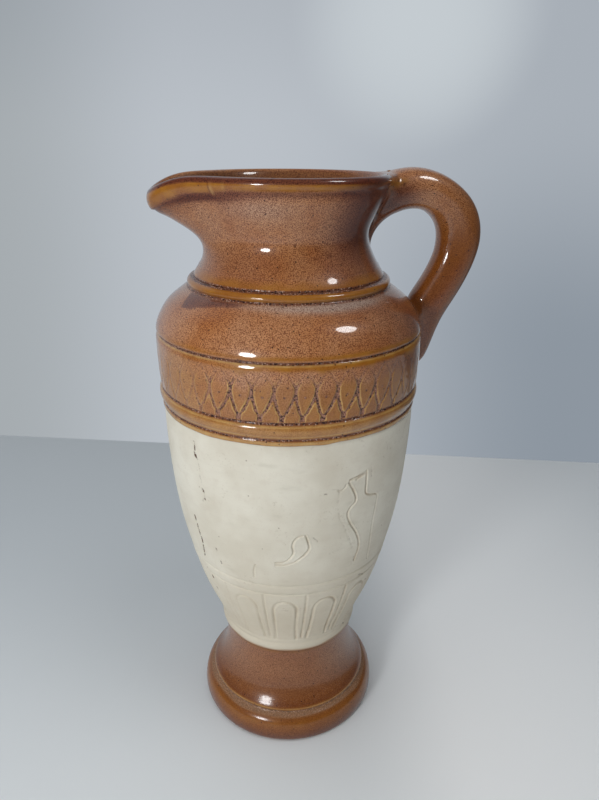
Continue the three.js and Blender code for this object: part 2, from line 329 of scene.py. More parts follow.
COLLAR = [
    (49.2, 253.5), (49.0, 253.75), (49.3, 254.1), (49.65, 254.6), (49.8, 255.2), (49.65, 255.9),
    (49.2, 256.6), (48.4, 257.15), (47.5, 257.5), (46.8, 257.72),
]
NECK_LINE = [
    (46.5, 258.3), (46.0, 259.4), (44.45, 261.6), (42.25, 265.1), (39.9, 269.9), (38.45, 273.6),
    (38.1, 276.4), (38.4, 279.0), (39.3, 281.7), (41.6, 286.4), (44.2, 291.7), (45.7, 295.2),
    (46.2, 297.4),
]
LIP = [
    (46.3, 298.2), (46.7, 298.9), (47.4, 299.6), (47.95, 300.6), (48.0, 301.7), (47.6, 302.9),
    (46.7, 303.75), (45.6, 304.1), (44.6, 303.8), (43.7, 303.0), (42.9, 301.7), (42.2, 299.9),
    (41.4, 298.0),
]
CAVITY = [
    (31.4, 8.3), (32.2, 9.5), (32.4, 12.0), (32.0, 40.0), (31.6, 45.0), (32.1, 54.0), (33.5, 60.0),
    (36.6, 70.6), (40.6, 80.5), (45.2, 93.7), (48.8, 106.9), (52.0, 120.1), (54.6, 133.3),
    (56.7, 149.8), (58.1, 166.3), (59.0, 182.8), (59.6, 196.0), (60.4, 210.0), (60.8, 222.0),
    (60.7, 230.0), (59.8, 234.6), (57.9, 238.0), (55.4, 241.2), (51.8, 244.4), (48.0, 247.2),
    (44.6, 250.0), (42.0, 253.0), (40.6, 256.0), (39.9, 258.5), (38.8, 262.0), (35.6, 267.6),
    (33.6, 272.2), (32.7, 276.4), (33.2, 280.0), (35.0, 284.6), (37.6, 289.6), (39.9, 294.2),
    (41.0, 297.0),
]

foot_line = flowing(FOOT_FLARE, softness=1.2)
belly_line = flowing(BELLY_LINE, softness=4)
band_line = flowing(BAND_LINE, softness=1.5)
neck_line = flowing(NECK_LINE, softness=1.5)
cavity_line = flowing(CAVITY, softness=1.0)


def corners_on(line, heights):
    """Corners of an outline on a line, one at each height."""
    return [(float(r), float(z)) for r, z in zip(radius_at(line, heights), heights)]


def rows_of(*runs):
    """Heights in runs, each from its low end to its high end by a step."""
    return np.concatenate([np.arange(*run) for run in runs])


def inside(low, high, spacing=5.0):
    """The inner wall from the high end down to the low one."""
    return corners_on(cavity_line, np.linspace(high, low, max(2, int((high - low) / spacing) + 1)))


def middle_of_wall(outer_radius):
    return outer_radius - WALL / 2


def tongue(seat, outer_radius):
    """Top of a lower section: its seat, then its tongue and down to the wall inside."""
    at = middle_of_wall(outer_radius)
    top = seat + TONGUE
    inner = min(float(radius_at(cavity_line, seat)), float(radius_at(cavity_line, top)))
    return [(outer_radius - 0.4, seat), (at, seat), (at, top), (inner, top)]


def rebate(seat, outer_radius):
    """Bottom of an upper section, from the inner wall out to its seat."""
    at = middle_of_wall(outer_radius) + SEAM
    return [(at, seat + TONGUE + SEAM), (at, seat + 0.8)]


def foot_outline():
    seat_radius = float(foot_line[-1, 0])
    base = [
        (0, 1.3), (14, 1.3), (28, 1.3), (41.0, 1.3), (42.0, 1.15), (42.7, 0.6), (43.3, 0.1), (43.9, 0.0),
        (46.5, 0.0), (48.9, 0.0),
    ]
    return [
        *base,
        *flowing(FOOT_ROLL, spacing=0.6, softness=0.6),
        *flowing(FOOT_LEDGE, spacing=0.3, softness=0.25),
        *corners_on(foot_line, np.arange(18.4, BELLY_Z - 0.3, 0.6)),
        (seat_radius, BELLY_Z - 0.25), (seat_radius - 0.12, BELLY_Z - 0.05),
        *tongue(BELLY_Z, seat_radius),
        *inside(8.6, BELLY_Z),
        (30.0, 8.0), (20.0, 8.0), (8.0, 8.0), (0, 8.0),
    ]


def belly_outline():
    rows = rows_of(
        (55.8, 103.6, 0.8), (103.8, 106.1, 0.33), (106.6, 110.4, 0.8), (110.6, 112.9, 0.33),
        (113.4, 118, 0.9), (118.6, SHOULDER_Z - 1.2, 1.25),
    )
    low_edge = [(37.2, 54.05), (37.9, 54.08), (38.45, 54.25), (38.8, 54.65), (38.93, 55.2)]
    return [
        *low_edge,
        *corners_on(belly_line, np.append(rows, SHOULDER_Z - 0.6)),
        *tongue(SHOULDER_Z, float(belly_line[-1, 0])),
        *inside(BELLY_Z + TONGUE + SEAM, SHOULDER_Z, 9),
        *rebate(BELLY_Z, float(foot_line[-1, 0])),
        low_edge[0],
    ]


NECK_SEAT_RADIUS = 46.4


def shoulder_outline():
    rows = rows_of(
        (195.2, 196.0, 0.4), (196.0, 198.2, 0.28), (198.5, 203.9, 0.55), (203.95, 205.9, 0.28),
        (206.1, 231.3, 0.5), (231.35, 233.4, 0.28), (233.9, 244.5, 0.75), (244.9, 253.0, 0.45),
    )
    start = (64.2, SHOULDER_Z + 0.1)
    return [
        start, (64.78, SHOULDER_Z + 0.02), (65.1, SHOULDER_Z + 0.12), (65.25, SHOULDER_Z + 0.45),
        *corners_on(band_line, rows),
        *flowing(COLLAR, spacing=0.33, softness=0.2),
        *tongue(NECK_Z, NECK_SEAT_RADIUS),
        *inside(SHOULDER_Z + TONGUE + SEAM, NECK_Z, 6),
        *rebate(SHOULDER_Z, float(belly_line[-1, 0])),
        start,
    ]


def neck_outline():
    start = (46.0, NECK_Z + 0.02)
    return [
        start, (46.45, NECK_Z + 0.08),
        *corners_on(neck_line, rows_of((258.4, 262, 0.45), (262.5, 297.6, 0.75))),
        *flowing(LIP, spacing=0.5, softness=0.5),
        *inside(NECK_Z + TONGUE + SEAM, 297.2, 1.6),
        *rebate(NECK_Z, NECK_SEAT_RADIUS),
        start,
    ]


# Foot. The random hills on each section are measured along a circle of about its own radius
FOOT_ARC, BELLY_ARC, SHOULDER_ARC, NECK_ARC = 45, 56, 66, 42


def make_foot():
    foot = turned("foot_glazed", foot_outline(), 256)
    places = places_of(foot)
    azimuth, radius, height = round_the_axis(places)
    hills, waves = hills_round(azimuth, height, FOOT_ARC)
    outer = (radius > 36) & (height > 2)
    wave = (0.12 * hills(22, 5) + 0.05 * hills(7, 6)) * (outer & (height < BELLY_Z - 1))
    move_to(foot, at_radius(places, radius + wave))
    drip = 0.9 * waves(9, 7)
    ledge = smoothstep(14.2, 15.0, height + 0.3 * drip) * smoothstep(17.7, 17.1, height)
    amber = 0.6 * bell(height, 18.3, 0.6) + 0.35 * bell(height + drip, 11.6, 2.2)
    speckled = 0.28 * smoothstep(34, 22, height + 2 * drip) * (height > 19)
    dark = 0.75 * smoothstep(9.5, 1.0, height + 0.8 * drip) + 0.5 * bell(height, 52.8, 1.0)
    dark += 0.35 * bell(height, 20.2, 1.2) * (height > 18.8)
    under = (height < 1.6) & (radius < 49.9)
    paint(
        foot,
        matt=ledge,
        amber=amber + 0.7 * smoothstep(50.5, 52.5, height),
        thin=0.6 * bell(height, 18.3, 0.45) * outer,
        pits=(0.4 * ledge + 0.35 * bell(height, 17.2, 0.5) + speckled) * outer,
        # The paler upper flare is a painted reflection of the floor.
        bloom=0.1 * smoothstep(19, 30, height) * outer,
        smudge=dark * outer,
        bare=np.maximum(1.0 * under, 0.26 * ledge),
        brown=0.9 - 0.3 * smoothstep(26, 40, height) + 0.1 * hills(30, 8),
        mauve=0.02 + 0.15 * smoothstep(34, 52, height) + 0.2 * smoothstep(8, 2, height),
    )
    smooth(foot)
    return foot


# Belly. Lines scratched into it, as azimuth and height: a small curl and a vessel's outline
CURL = [
    [(-6, 128.4), (-3, 128.9), (-0.5, 130.2), (1.5, 132.8), (2.3, 135.5), (1.8, 138.3), (2.0, 141.0),
     (3.0, 143.4), (4.5, 144.9), (6.2, 145.4)],
    [(7.5, 145.4), (8.3, 143.2), (9.0, 140.5), (9.5, 137.7), (8.8, 135.5), (7.0, 133.0), (5.0, 130.9),
     (3.0, 129.1), (0.0, 127.6), (-3.0, 126.9), (-6.0, 126.7)],
]
VESSEL = [
    [(26.0, 171.8), (28.5, 166.9), (30.0, 163.0), (30.0, 159.9), (28.0, 157.7), (26.7, 155.3), (27.0, 152.0),
     (29.0, 147.1), (32.0, 142.1), (34.0, 137.7), (35.5, 133.3), (36.0, 128.9), (35.3, 124.5), (35.0, 121.8)],
    [(26.3, 173.1), (29.5, 173.8), (34.0, 174.9)],
    [(29.5, 172.6), (34.0, 174.2)],
    [(34.7, 175.7), (35.1, 169.0), (35.3, 163.6), (37.0, 161.6), (42.0, 159.9)],
]
FAINT = [
    [(42.0, 159.9), (43.3, 158.5), (43.2, 154.8), (42.8, 144.8), (43.0, 137.5), (44.6, 123.6), (45.6, 117.5)],
    [(20.8, 168.7), (22.5, 168.5), (24.0, 169.6), (24.8, 171.3)],
    [(-16.0, 125.6), (-17.0, 122.3), (-17.5, 116.8)],
]
# Chips, cracks and dirt in the clay: course and strength
SCARS = [
    ([(-43.3, 188.2), (-42.9, 184.6), (-43.4, 181.7), (-42.6, 180.0)], 1.0),
    ([(-42.4, 180.2), (-41.4, 178.7), (-41.2, 174.5), (-41.1, 168.6), (-40.6, 161.6), (-41.4, 155.4)], 0.24),
    ([(-40.3, 162.8), (-40.1, 158.8), (-39.9, 157.4)], 0.6),
    ([(-50.4, 142.6), (-49.8, 138.5), (-49.2, 134.5), (-48.9, 132.0)], 1.0),
    ([(-48.4, 130.0), (-48.2, 128.0), (-49.0, 122.5), (-50.1, 116.6)], 0.9),
    ([(-52.3, 107.4), (-51.8, 104.8)], 0.7),
    ([(-49.4, 103.1), (-49.1, 101.2)], 0.9),
    ([(-49.4, 94.0), (-49.2, 92.6)], 0.5),
    ([(-36.9, 120.4), (-36.6, 118.8)], 0.7),
    ([(-38.0, 128.4), (-37.8, 127.2)], 0.45),
    ([(42.0, 107.4), (44.0, 106.8), (47.5, 104.5)], 0.3),
    ([(53.5, 97.0), (55.8, 95.6)], 0.4),
    ([(37.4, 176.4), (37.9, 171.4)], 0.2),
    ([(11.0, 143.8), (12.2, 142.6)], 0.24),
    ([(12.6, 142.2), (13.2, 141.1)], 0.24),
    ([(15.1, 168.1), (16.3, 167.6)], 0.4),
    ([(6.9, 165.2), (7.5, 164.2)], 0.2),
    ([(22.3, 156.5), (22.3, 154.2), (23.5, 151.0), (25.4, 147.5), (29.0, 138.8), (32.0, 131.5)], 0.17),
    ([(18.4, 169.9), (21.3, 169.4), (21.8, 165.7), (21.2, 162.0)], 0.17),
    ([(33.9, 124.9), (34.3, 119.6)], 0.2),
    ([(29.8, 71.9), (31.2, 71.2)], 0.3),
    ([(40.0, 64.7), (42.2, 64.0)], 0.35),
    ([(52.3, 60.7), (54.4, 60.0)], 0.35),
]
# The scratched figures come three times round the belly
FIGURE_TURNS = (0, 120, 240)
ARCADE_COUNT = 15
ARCADE_START = -2.0
LINES_ROUND = ((111.6, 0.4), (104.9, 0.5))


def arcade_distance(azimuth, radius, height):
    """Distance to the nearest arch on its two legs, and to the nearest pillar between arches."""
    repeat = 360 / ARCADE_COUNT
    from_arch = (azimuth - ARCADE_START + repeat / 2) % repeat - repeat / 2
    half = 7.0
    spring, top, low = 91.5, 99.2, 64.2
    pillar_low, pillar_high = 65.6, 103.6
    side = np.abs(from_arch)
    lean = half + 0.9 * smoothstep(76, 62, height)
    leg = np.hypot(np.radians(side - lean) * radius, height - np.clip(height, low, spring))
    across = np.radians(side) * radius
    span = np.radians(half) * radius
    rise = top - spring
    lift = height - spring
    angle = np.clip(np.arctan2(lift / rise, across / span), 0, math.pi / 2)
    arch = np.hypot(across - span * np.cos(angle), lift - rise * np.sin(angle))
    arch = np.where(lift < 0, FAR, arch)
    from_pillar = (azimuth - ARCADE_START) % repeat - repeat / 2
    up = height - np.clip(height, pillar_low, pillar_high)
    return np.minimum(leg, arch), np.hypot(np.radians(from_pillar) * radius, up)


def belly_strokes(azimuth, radius, height):
    """Distance to the nearest strong stroke, and to the nearest faint one."""
    def nearest(lines):
        near = np.full(len(azimuth), FAR)
        for turn in FIGURE_TURNS:
            for line in lines:
                moved = flowing([(a + turn, z) for a, z in line], spacing=1.0, softness=0)
                near = np.minimum(near, stroke_distance(azimuth, radius, height, moved))
        return near
    return nearest(CURL + VESSEL), nearest(FAINT)


def scratch(distance, depth, width=0.45):
    """A stroke drawn into the damp clay, with a low burr on both sides."""
    return -depth * bell(distance, 0, width) + 0.16 * depth * bell(distance, 2.3 * width, 0.6 * width)


def make_belly():
    belly = turned("belly_clay", belly_outline(), 360)
    for reach, with_arcade in ((1.7, True), (1.0, False)):
        azimuth, radius, height = round_the_axis(places_of(belly))
        outer = radius > radius_at(belly_line, height) - 1.5
        near = least(*belly_strokes(azimuth, radius, height))
        if with_arcade:
            near = least(near, *arcade_distance(azimuth, radius, height))
            near = least(near, *(stroke_distance(azimuth, radius, height, line) for line, _ in SCARS))
        subdivide_where(belly, outer & (near < reach))
    places = places_of(belly)
    azimuth, radius, height = round_the_axis(places)
    wall = radius_at(belly_line, height)
    outer = (radius > wall - 1.5) & (height > 54.9) & (height < SHOULDER_Z - 0.3)
    hills, waves = hills_round(azimuth, height, BELLY_ARC)
    strong, faint = belly_strokes(azimuth, radius, height)
    leg, pillar = arcade_distance(azimuth, radius, height)
    uneven = 1 + 0.35 * hills(11, 11)
    worn = 1 - 0.75 * bell(azimuth, -48, 22) - 0.4 * bell(angle_between(azimuth, 150), 0, 25)
    relief = scratch(strong, 0.62, 0.42) * uneven + scratch(faint, 0.32, 0.4)
    relief += (scratch(leg, 0.7, 0.62) + scratch(pillar, 0.55, 0.55)) * uneven * worn
    wander = 0.25 * waves(40, 12)
    for line_height, depth in LINES_ROUND:
        relief += scratch(height - line_height - wander, depth, 0.62) * uneven
    relief += 0.22 * bell(height, 108.2 + wander, 2.2)
    relief += 0.35 * bell(height, 57.2, 1.6) - 0.5 * bell(height, 60.3, 0.7) - 0.35 * bell(height, 63.4, 0.6)
    arc = np.radians(azimuth) * BELLY_ARC
    ragged = np.maximum(0.66 + 0.5 * lumps(arc * 3, height * 3, 2.2, 13), 0.2)
    scar = np.zeros(len(height))
    for line, strength in SCARS:
        near = stroke_distance(azimuth, radius, height, line) / ragged
        scar = np.maximum(scar, strength * smoothstep(1.0, 0.2, near))
    relief -= 0.7 * scar
    relief += 0.10 * hills(24, 14)
    relief += 0.03 * np.sin(height * 1.9 + 2 * hills(30, 15))
    move_to(belly, at_radius(places, radius + relief * outer))
    shown = bell(least(strong, leg, pillar), 0, 0.5) * (0.25 + 0.75 * smoothstep(-10, 30, azimuth))
    paint(
        belly,
        stroke=(shown + 0.35 * bell(faint, 0, 0.5)) * outer,
        scar=scar * outer,
        low=smoothstep(150, 60, height) * outer,
        edge=smoothstep(56.6, 54.9, height + 0.5 * waves(12, 16)),
        inside=1.0 * (radius < wall - 3),
    )
    smooth(belly, 60)
    return belly


# Shoulder: height and depth of its grooves, ends of its half-round moulding, and its pressed lattice
GROOVES = ((197.0, 0.5), (204.9, 0.6), (232.3, 0.75))
ROLL_LOW, ROLL_HIGH = 198.5, 204.1
LATTICE_COUNT = 43
LATTICE_START = -2.7
LATTICE_LOW = 205.9
# Half the distance between the two strips beside a lens, as a share of the repeat, by height
LATTICE_SWING = (
    (205.9, 0.057), (208.6, 0.06), (209.3, 0.10), (210.0, 0.165), (212.0, 0.256), (214.0, 0.337),
    (216.0, 0.415), (218.0, 0.475), (219.5, 0.497), (220.5, 0.5), (221.5, 0.485), (222.5, 0.44),
    (224.0, 0.35), (226.0, 0.22), (228.0, 0.08), (229.0, 0.0),
)
# The distance outside a strip is painted from its lowest value over this range
STRIP_LOW, STRIP_RANGE = -1.0, 5.0
# Pitted lines: height, width and strength
SHOULDER_PITS = (
    (197.0, 0.75, 0.8), (204.9, 0.75, 1.0), (232.35, 0.7, 1.0), (253.45, 0.5, 1.1), (257.7, 0.5, 1.1),
)
# Lower edge of the dark patch under the collar, left of the front: azimuth and height
DARK_PATCH = (
    (-64, 253.5), (-60, 248.6), (-58, 247.2), (-54, 247.8), (-48, 248.8), (-38, 250.3), (-26, 251.6),
    (-16, 253.5),
)


def lattice(azimuth, radius, height):
    """How far a place is outside the nearest pressed strip, and from the dimple inside a lens."""
    repeat = 360 / LATTICE_COUNT
    lean = 0.11 * (np.clip(height, LATTICE_LOW, 222) - LATTICE_LOW)
    uneven_step = -1.3 * smoothstep(-5, 15, azimuth) * smoothstep(85, 45, azimuth)
    uneven_step -= 0.7 * smoothstep(-22, -30, azimuth) * smoothstep(-80, -50, azimuth)
    swing = repeat * np.interp(height, *zip(*LATTICE_SWING))
    from_cross = (azimuth - lean - uneven_step - LATTICE_START + repeat / 2) % repeat - repeat / 2
    off = least(*(np.abs(from_cross + way) for way in (-swing, swing, repeat - swing, swing - repeat)))
    slope = 1 / np.hypot(1, 0.42 * smoothstep(209, 210, height) * smoothstep(219, 216, height))
    off = np.radians(off) * radius * slope - 0.56 - 0.12 * smoothstep(214, 218, height)
    off = np.maximum(off, 205.75 - height)
    dimple = np.hypot(np.radians(from_cross) * radius, height - 217.4)
    return off, dimple


def lattice_strength(azimuth, height, uneven):
    """1 where the lattice is plain to see, less where the glaze ran thick over it."""
    fade = smoothstep(226.5, 219.5, height + 1.5 * uneven)
    fade *= smoothstep(LATTICE_LOW - 0.6, LATTICE_LOW + 0.2, height)
    traces = 0.22 * smoothstep(230, 226, height) * smoothstep(LATTICE_LOW, LATTICE_LOW + 2, height)
    return np.maximum(fade, traces) * clear_share(azimuth)


def clear_share(azimuth):
    """The lattice is sharpest at the front and softer to both sides, where the glaze ran thicker."""
    near = smoothstep(-44, -22, azimuth) * smoothstep(64, 30, azimuth)
    far = smoothstep(110, 140, azimuth) + smoothstep(-110, -140, azimuth)
    return 0.3 + 0.7 * np.maximum(near, 0.8 * far)


def make_shoulder():
    shoulder = turned("shoulder_glazed", shoulder_outline(), 602)
    places = places_of(shoulder)
    azimuth, radius, height = round_the_axis(places)
    outer = (radius > radius_at(band_line, height) - 2.2) & (height > SHOULDER_Z + 0.3)
    hills, waves = hills_round(azimuth, height, SHOULDER_ARC)
    off, dimple = lattice(azimuth, radius, height)
    uneven = hills(6, 21)
    strength = lattice_strength(azimuth, height, uneven)
    press = smoothstep(0.35, -0.35, off) * strength
    ridge = bell(off, 0.6, 0.5) * strength
    dot = bell(dimple, 0, 0.8) * strength
    relief = (-0.5 * press + 0.14 * ridge) * (1 + 0.3 * uneven) - 0.15 * dot
    relief += 0.10 * hills(1.5, 22) * press
    for groove, depth in GROOVES:
        wander = groove + 0.15 * waves(30, 23)
        relief -= depth * bell(height, wander, 0.62) * (1 + 0.25 * hills(3, 24))
    relief += np.sin(math.pi * np.clip((height - ROLL_LOW) / (ROLL_HIGH - ROLL_LOW), 0, 1)) ** 0.75
    relief += 0.10 * hills(18, 25) + 0.04 * hills(6, 26)
    relief -= 0.55 * smoothstep(229.0, 232.0, height) * smoothstep(233.0, 232.0, height)
    relief *= np.where(height > 251, smoothstep(252.6, 251.5, height), 1) * outer
    places = at_radius(places, radius + relief)
    low_edge = (height > SHOULDER_Z - 0.1) & (height < SHOULDER_Z + 0.8) & (radius > 64.6)
    places[:, 2] -= (0.25 + 0.35 * waves(8, 27)) * low_edge
    move_to(shoulder, places)

    wave = waves(5, 28)
    drip = 1.2 * wave + 0.8 * waves(2.4, 29)
    right = smoothstep(-32, -12, azimuth)
    ochre = smoothstep(224.5 + 2 * wave, 219 + 2 * wave, height)
    amber = most(
        0.9 * bell(height, 234.2, 1.2) * (0.55 + 0.45 * right),
        (0.35 + 0.6 * right) * smoothstep(227.3 + drip, 230.2 + drip, height) * (height < 232.0),
        1.0 * ((height > 253.5) & (height < 257.7)),
        0.6 * smoothstep(206.2, 205.0, height),
        (0.35 + 0.4 * right) * ochre * smoothstep(LATTICE_LOW - 0.5, LATTICE_LOW, height),
    )
    thin = most(
        smoothstep(196.6, 195.6, height),
        bell(height, 198.6, 0.45),
        bell(height, 203.5, 0.5),
        0.4 * bell(height, 201, 2.5),
        0.22 * smoothstep(-22, -46, azimuth) * (height < 229),
        0.8 * bell(height, 231.3, 0.4) * (1 + 0.5 * waves(2.0, 31)),
    )
    bloom = most(
        bell(azimuth, 22, 34) * bell(height, 251.9, 1.9) + 0.3 * bell(height, 252.2, 1.0),
        # A thin pale line on the lower lip of the lowest groove, on the lit left side only, is a painted
        # highlight.
        0.6 * bell(height, 231.7, 0.35) * smoothstep(20, -30, azimuth),
    )
    patch_edge = np.interp(azimuth, *zip(*DARK_PATCH)) + 0.35 * wave
    smudge = 0.8 * smoothstep(patch_edge - 0.4, patch_edge + 0.5, height) * smoothstep(253.4, 252.6, height)
    smudge *= smoothstep(-66, -60, azimuth) * smoothstep(-14, -30, azimuth)
    mauve = 0.06 + 0.25 * hills(26, 30) + 0.65 * bell(azimuth, 58, 28) * smoothstep(228, 236, height)
    mauve += 0.3 * bell(azimuth, 55, 25) * (height < 232) + 0.5 * smudge
    mauve += 0.35 * bell(angle_between(azimuth, 190), 0, 40)
    brown = 0.75 * smoothstep(24, 48, azimuth) * smoothstep(100, 80, azimuth) * (height < 234)
    pits = most(*(share * bell(height, line, width) for line, width, share in SHOULDER_PITS), 0.8 * dot)
    glazed = outer | (height > 253)
    paint(
        shoulder,
        amber=amber * glazed,
        pits=pits * glazed,
        bloom=bloom * outer,
        brown=np.where(outer, brown, 0.5),
        mauve=mauve,
        smudge=smudge * outer,
        thin=thin * (outer & (height > 194) & (height < 252.9)),
        matt=bell(height, 231.0, 1.6) * smoothstep(4, 24, azimuth),
        strip=np.where(outer, (off - STRIP_LOW) / STRIP_RANGE, 1),
        lattice=strength * (outer & (height < 231.5) & (height > 205.2)),
    )
    smooth(shoulder, 70)
    return shoulder


# Neck, lip and spout. The lip's outside turns to its inside at the crest's radius
LIP_LOW, LIP_CREST_RADIUS = 297.6, 45.6
SPOUT_AZIMUTH = 180 + FRONT - 360
SPOUT_REACH = 17.4
SPOUT_DROP = 6.4
SPOUT_HALF_ANGLE = 22.0
SPOUT_START = NECK_Z + TONGUE + 0.6
LIP_Z = CREST_Z - 6.0


def spout_share(azimuth):
    return np.exp(-((angle_between(azimuth, SPOUT_AZIMUTH) / SPOUT_HALF_ANGLE) ** 2))


def wide_share(azimuth):
    return np.exp(-((angle_between(azimuth, SPOUT_AZIMUTH) / (1.7 * SPOUT_HALF_ANGLE)) ** 2))


def pulled(places):
    """The neck's wall drawn out over the pouring side, and let down at its tip."""
    azimuth, radius, height = round_the_axis(places)
    rise = np.clip((height - SPOUT_START) / (LIP_Z - SPOUT_START), 0, 1)
    share = spout_share(azimuth)
    bead = wide_share(azimuth) * (radius > 44.5)
    swell = 1.2 * bead * bell(height, 298.7, 2.0)
    out = at_radius(places, radius + SPOUT_REACH * share * smoothstep(0, 1, rise) + swell)
    sag = 2.4 * bead * bell(height, 297.6, 2.2) + 1.2 * share * bell(height, 293.4, 3.6)
    out[:, 2] = height - SPOUT_DROP * rise**2 * share**2.5 - sag
    return out


def make_neck():
    neck = turned("neck_glazed", neck_outline(), 384)
    places = places_of(neck)
    azimuth, radius, height = round_the_axis(places)
    hills, waves = hills_round(azimuth, height, NECK_ARC)
    outer = radius > radius_at(neck_line, height) - 2.4
    lip = height > LIP_LOW
    outside_lip = lip & (radius > LIP_CREST_RADIUS)
    inside_lip = lip & (radius <= LIP_CREST_RADIUS)
    spout = spout_share(azimuth)
    ripple = (0.09 * hills(16, 44) + 0.03 * hills(6, 45)) * (outer & ~lip & (height > 259))
    ripple -= 0.5 * (wide_share(azimuth) - 0.8 * spout) * bell(height, 295.8, 1.5) * (radius > 44.0)
    move_to(neck, pulled(at_radius(places, radius + ripple)))

    drip = 0.7 * waves(5, 41) + 0.3 * waves(2.2, 42)
    amber_low = 299.2 - 0.7 * smoothstep(-26, -48, azimuth) - 1.5 * bell(azimuth, -80, 15)
    amber = smoothstep(amber_low - 0.9, amber_low + 0.9, height + 0.3 * drip)
    amber = most(
        amber * smoothstep(302.1, 301.3, height) * (outer | outside_lip),
        0.6 * bell(height, 304.1, 0.5) * bell(angle_between(azimuth, 180), 0, 75),
        0.7 * smoothstep(263.0, 259.4, height + 0.8 * drip) * outer,
    )
    # Mauve where the glaze is thick, with painted shade: the terms round azimuth 66 and from 18 to 55 darken
    # the neck's right side, turned from the light, and those at heights 296.6 and 297.4 darken the band under
    # the lip.
    mauve = (
        0.2
        + 0.3 * hills(22, 43)
        + 1.2 * bell(azimuth, 66, 30) * smoothstep(262, 276, height)
        + 0.9 * bell(height, 296.6, 2.3) * bell(azimuth, -45, 34)
        + 0.35 * bell(height, 297.4, 1.8)
        + 0.4 * bell(angle_between(azimuth, 170), 0, 45)
        + 0.6 * smoothstep(301.6, 302.4, height) * outside_lip
        + 0.45 * smoothstep(18, 55, azimuth) * outer
    )
    # Dark glaze, streaks and a spot, with painted shade: the neck's right side turned from the light (azimuth
    # 20 to 52 and round 66), the band under the lip's bead and the hollow under the spout are darkened.
    smudge = (
        0.95 * smoothstep(301.3, 302.0, height) * outside_lip * smoothstep(80, 50, azimuth)
        + 0.95 * smoothstep(20, 52, azimuth) * smoothstep(266, 284, height) * (outer & (azimuth < 90))
        + 0.6 * bell(azimuth, -88, 8) * smoothstep(282, 289, height) * outer
        + 0.6 * bell(azimuth, -56, 10) * smoothstep(292.8, 294.6, height) * (height < amber_low)
        + 0.55 * smoothstep(amber_low + 0.2, amber_low - 1.2, height) * outside_lip
        + 0.8 * bell(height, 296.4 - 1.2 * bell(azimuth, -38, 9), 1.6) * bell(azimuth, -44, 15)
        + 0.75 * spout * bell(height, 294.0, 3.4) * (radius > 43)
        + 0.6 * bell(azimuth, 66, 17) * smoothstep(266, 280, height) * outer
        + 0.5 * bell(height, 297.2, 0.9) * (1 - spout) * smoothstep(60, 30, azimuth) * outer
        + 0.6 * bell(azimuth, -43.4, 0.55) * bell(height, 299.6, 2.2) * outside_lip
        + 0.8 * bell(np.hypot(np.radians(azimuth - 27.0) * NECK_ARC, height - 271.6), 0, 1.1)
    )
    streak = bell(azimuth, -42.1, 0.7) * bell(height, 299.2, 2.0)
    streak += 0.5 * bell(azimuth, -34.5, 0.6) * bell(height, 300.4, 1.6)
    under_lip = smoothstep(292.5, 295.5, height) * smoothstep(amber_low + 0.5, amber_low - 0.8, height)
    matt = 0.8 * bell(azimuth, 45, 19) * smoothstep(268, 282, height) * outer
    within = np.where(inside_lip, smoothstep(303.9, 302.2, height), 1.0 * (~outer & ~outside_lip))
    paint(
        neck,
        thin=streak * outside_lip,
        matt=np.maximum(matt, 0.75 * under_lip * (outer | outside_lip)),
        amber=amber,
        pits=bell(height, 258.0, 0.7) * outer,
        mauve=mauve,
        bloom=0.35 * bell(azimuth, -18, 24) * bell(height, 291, 5),
        inside=within,
        smudge=smudge,
        brown=np.where(outer, 0.35 * bell(height, 268, 9), 0.5),
    )
    smooth(neck, 70)
    return neck


# Handle. Stations from the lip over the loop to the tail, as x and height of the outer edge, x and height of
# the inner edge, and width
HANDLE = (
    (52.5, 305.6, 51.4, 284.9, 22.6), (56.5, 306.4, 56.0, 286.7, 21.8),
    (61.6, 306.8, 60.6, 287.4, 21.2), (67.6, 306.1, 64.2, 287.3, 20.8),
    (73.6, 304.4, 67.6, 286.4, 20.7), (80.0, 301.5, 70.6, 284.5, 20.6),
    (86.4, 297.2, 73.2, 282.0, 20.6), (91.6, 292.3, 75.1, 278.8, 20.6),
    (95.6, 286.2, 76.2, 274.9, 20.5), (97.9, 279.2, 76.3, 270.6, 20.4),
    (98.4, 271.8, 75.7, 266.2, 20.4), (97.2, 265.0, 74.3, 262.0, 20.4),
    (94.9, 258.2, 72.2, 257.4, 20.3), (91.8, 251.2, 69.5, 252.6, 20.0),
    (88.2, 244.0, 66.1, 247.4, 19.6), (84.6, 237.9, 62.8, 242.4, 19.0),
    (81.2, 232.2, 62.6, 236.4, 18.0), (78.6, 226.2, 63.4, 229.4, 16.6),
    (76.8, 220.4, 64.0, 222.6, 15.0), (75.2, 215.4, 64.2, 216.6, 13.4),
    (73.6, 211.2, 64.2, 211.8, 11.8), (71.6, 208.3, 64.2, 208.6, 10.0),
    (69.0, 206.6, 64.2, 206.9, 8.0), (66.0, 206.2, 64.0, 206.4, 5.0),
)
HANDLE_RINGS = 210
ROOT_RINGS = 30
HANDLE_CORNERS = 64
# Edge of the root on the neck and lip: degrees round the handle from its top, height, and distance off the
# handle's middle plane
ROOT_EDGE = (
    (0, 303.95, 0.0), (30, 303.95, 8.5), (48, 303.5, 14.5), (62, 301.3, 18.6), (76, 297.0, 18.6),
    (92, 290.0, 16.0), (115, 281.0, 12.8), (140, 272.6, 8.6), (160, 267.4, 4.6), (180, 265.6, 0.0),
)
ROOT_MIDDLE_Z = 290.0


def unit(vectors):
    return vectors / np.maximum(np.linalg.norm(vectors, axis=1), 1e-6)[:, None]


def handle_rings():
    """Outer and inner edge and width of every ring of the loop, and how far along it lies."""
    stations = np.array(HANDLE)
    middles = (stations[:, 0:2] + stations[:, 2:4]) / 2
    along = np.concatenate([[0], np.cumsum(np.hypot(*np.diff(middles, axis=0).T))])
    fine = np.linspace(0, along[-1], HANDLE_RINGS)
    columns = [softened(np.interp(fine, along, stations[:, k]), 4.0) for k in range(5)]
    return np.stack(columns, 1), fine


